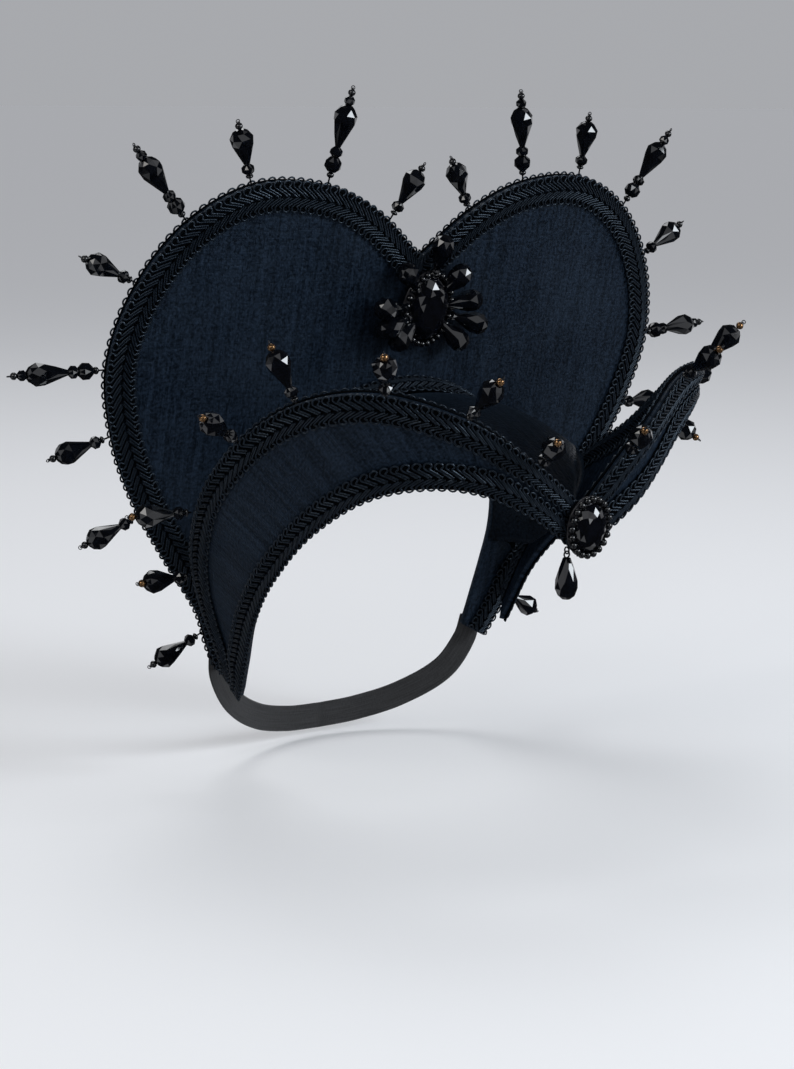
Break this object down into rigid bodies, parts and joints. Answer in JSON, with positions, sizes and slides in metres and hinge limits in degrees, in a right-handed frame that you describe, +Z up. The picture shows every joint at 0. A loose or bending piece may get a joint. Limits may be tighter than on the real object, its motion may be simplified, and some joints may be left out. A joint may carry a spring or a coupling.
{
  "type": "fabric crown",
  "caption": "Black silk stage crown: heart-shaped back panel on a fitted cap, winged front brim, gimp braid on every edge, beaded spikes, brooch, front jewel and hanging drop.",
  "frame": {"origin": "the top of the wearer's head, where the inside of the cap rests on it", "axes": "+Z up along the wearer's head, the wearer looks along -Y, the wearer's left is +X"},
  "size_m": [0.3824, 0.2396, 0.3085],
  "materials": {
    "silk": "black slubbed silk over stiff board",
    "gimp": "black gimp braid with a satin sheen",
    "jet": "polished opaque black glass, faceted",
    "wire": "blackened wire",
    "elastic": "matt black elastic"
  },
  "bodies": {
    "crown": {"heart_panel": "silk", "cap": "silk", "front_brim": "silk", "heart_brooch": "jet", "front_jewel": "jet", "drop_ring": "wire", "nape_strap": "elastic", "heart_front_braid": "gimp", "heart_back_braid": "gimp", "arch_braid": "gimp", "brim_outer_braid": "gimp", "brim_back_braid": "gimp", "brim_inner_braid": "gimp", "heart_spike_right_1": "jet", "heart_spike_right_2": "jet", "heart_spike_right_3": "jet", "heart_spike_right_4": "jet", "heart_spike_right_5": "jet", "heart_spike_right_6": "jet", "heart_spike_right_7": "jet", "heart_spike_right_8": "jet", "heart_spike_right_9": "jet", "heart_spike_left_1": "jet", "heart_spike_left_2": "jet", "heart_spike_left_3": "jet", "heart_spike_left_4": "jet", "heart_spike_left_5": "jet", "heart_spike_left_6": "jet", "heart_spike_left_7": "jet", "heart_spike_left_8": "jet", "heart_spike_left_9": "jet", "brim_spike_right_1": "jet", "brim_spike_right_2": "jet", "brim_spike_right_3": "jet", "brim_spike_right_4": "jet", "brim_spike_right_5": "jet", "brim_spike_right_6": "jet", "brim_spike_right_7": "jet", "brim_spike_left_1": "jet", "brim_spike_left_2": "jet", "brim_spike_left_3": "jet", "brim_spike_left_4": "jet", "brim_spike_left_5": "jet", "brim_spike_left_6": "jet"},
    "drop": {"drop": "jet"}
  },
  "joints": [
    {"name": "drop_swing", "type": "hinge", "parent": "crown", "child": "drop", "pos_m": [-0.00887, -0.10236, -0.05387], "axis": [0, 1, 0], "range_deg": [-30, 30]}
  ]
}
